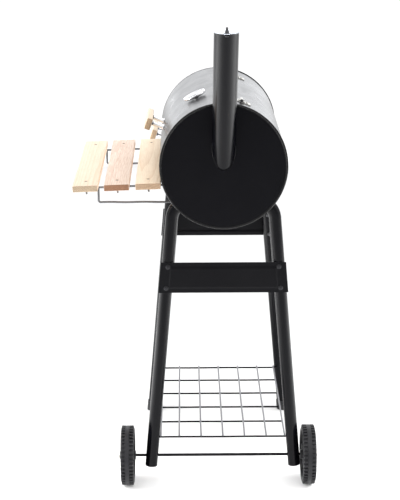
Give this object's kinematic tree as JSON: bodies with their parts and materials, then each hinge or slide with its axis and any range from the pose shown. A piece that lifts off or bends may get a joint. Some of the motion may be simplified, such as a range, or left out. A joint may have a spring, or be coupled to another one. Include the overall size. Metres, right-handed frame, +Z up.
{
  "type": "offset smoker",
  "caption": "Barrel smoker on four tube legs with a lower firebox, leaning chimney, hinged lids, slatted wooden shelf, wire shelf and two wheels.",
  "frame": {"origin": "centre of the footprint box on the ground", "axes": "+X towards the chimney end, -Y towards the user and the wooden shelf, +Z up"},
  "size_m": [1.1802, 0.6848, 1.348],
  "materials": {
    "black_enamel": "gloss",
    "end_plate_black": "satin",
    "lid_enamel": "gloss",
    "pipe_black": "satin",
    "leg_black": "gloss",
    "brace_black": "satin",
    "black_plastic": "satin",
    "wheel_plastic": "satin",
    "zinc": "zinc plated",
    "dark_bolt": "satin",
    "cap_steel": "satin",
    "chrome": "polished",
    "dial_white": "satin",
    "needle_black": "satin",
    "glass": "clear",
    "grate_wire": "plated wire",
    "shelf_wire": "satin grey",
    "axle_steel": "satin",
    "wood_inner": "sanded pine",
    "wood_middle": "sanded pine",
    "wood_outer": "sanded pine",
    "wood_grip": "sanded pine",
    "screw_steel": "zinc plated"
  },
  "bodies": {
    "frame": {"barrel_body": "black_enamel", "chimney_end_plate": "end_plate_black", "firebox_side_plate": "end_plate_black", "chimney_pipe": "pipe_black", "damper_lug": "pipe_black", "damper_bolt": "dark_bolt", "firebox_body": "black_enamel", "firebox_inner_plate": "end_plate_black", "firebox_outer_plate": "end_plate_black", "smoke_collar": "end_plate_black", "firebox_bolts": "zinc", "grate_rails": "black_enamel", "cooking_grate_left": "grate_wire", "cooking_grate_right": "grate_wire", "charcoal_grate": "grate_wire", "firebox_grate": "grate_wire", "hinge_fixed_leaves": "zinc", "hinge_pins": "zinc", "leg_front_right": "leg_black", "leg_rear_right": "leg_black", "leg_front_left": "leg_black", "leg_rear_left": "leg_black", "leg_necks": "leg_black", "leg_plugs": "black_plastic", "leg_bolts": "zinc", "foot_front": "black_plastic", "foot_rear": "black_plastic", "brace_right": "brace_black", "brace_left": "brace_black", "brace_bolts": "dark_bolt", "wire_shelf": "shelf_wire", "shelf_rods": "shelf_wire", "tool_rails": "shelf_wire", "slat_inner": "wood_inner", "slat_middle": "wood_middle", "slat_outer": "wood_outer", "slat_screws": "screw_steel", "axle": "axle_steel", "axle_caps": "zinc", "air_damper_rivet": "zinc"},
    "lid": {"lid_shell": "lid_enamel", "lid_grip": "wood_grip", "lid_posts": "chrome", "lid_screws": "zinc", "lid_leaves": "zinc", "thermometer_case": "chrome", "thermometer_dial": "dial_white", "thermometer_glass": "glass", "thermometer_stem": "chrome", "thermometer_nut": "chrome"},
    "needle": {"thermometer_needle": "needle_black"},
    "firebox_lid": {"firebox_lid_shell": "lid_enamel", "firebox_grip": "wood_grip", "firebox_posts": "chrome", "firebox_screws": "zinc", "firebox_leaves": "zinc"},
    "chimney_damper": {"chimney_damper": "cap_steel"},
    "air_damper": {"air_damper": "zinc"},
    "wheel_front": {"wheel_front": "wheel_plastic"},
    "wheel_rear": {"wheel_rear": "wheel_plastic"}
  },
  "joints": [
    {"name": "lid_hinge", "type": "hinge", "parent": "frame", "child": "lid", "pos_m": [0.04768, 0.11777, 1.11207], "axis": [-1, 0, 0], "range_deg": [0, 115]},
    {"name": "firebox_lid_hinge", "type": "hinge", "parent": "frame", "child": "firebox_lid", "pos_m": [-0.41232, 0.11639, 0.98126], "axis": [-1, 0, 0], "range_deg": [0, 110]},
    {"name": "damper_swing", "type": "hinge", "parent": "frame", "child": "chimney_damper", "pos_m": [0.58212, 0.06843, 1.33], "axis": [0, 0, 1], "range_deg": [0, 120]},
    {"name": "air_damper_turn", "type": "hinge", "parent": "frame", "child": "air_damper", "pos_m": [-0.57082, 0.06843, 0.734], "axis": [1, 0, 0], "range_deg": [0, 45]},
    {"name": "wheel_front_spin", "type": "hinge", "parent": "frame", "child": "wheel_front", "pos_m": [0.32268, -0.20457, 0.085], "axis": [0, 1, 0], "continuous": true},
    {"name": "wheel_rear_spin", "type": "hinge", "parent": "frame", "child": "wheel_rear", "pos_m": [0.32268, 0.31443, 0.085], "axis": [0, 1, 0], "continuous": true},
    {"name": "needle_turn", "type": "hinge", "parent": "lid", "child": "needle", "pos_m": [0.17768, -0.00849, 1.10495], "axis": [0, 0.4226, -0.9063], "range_deg": [0, 270], "stiffness_Nm_per_rad": 0.002}
  ]
}
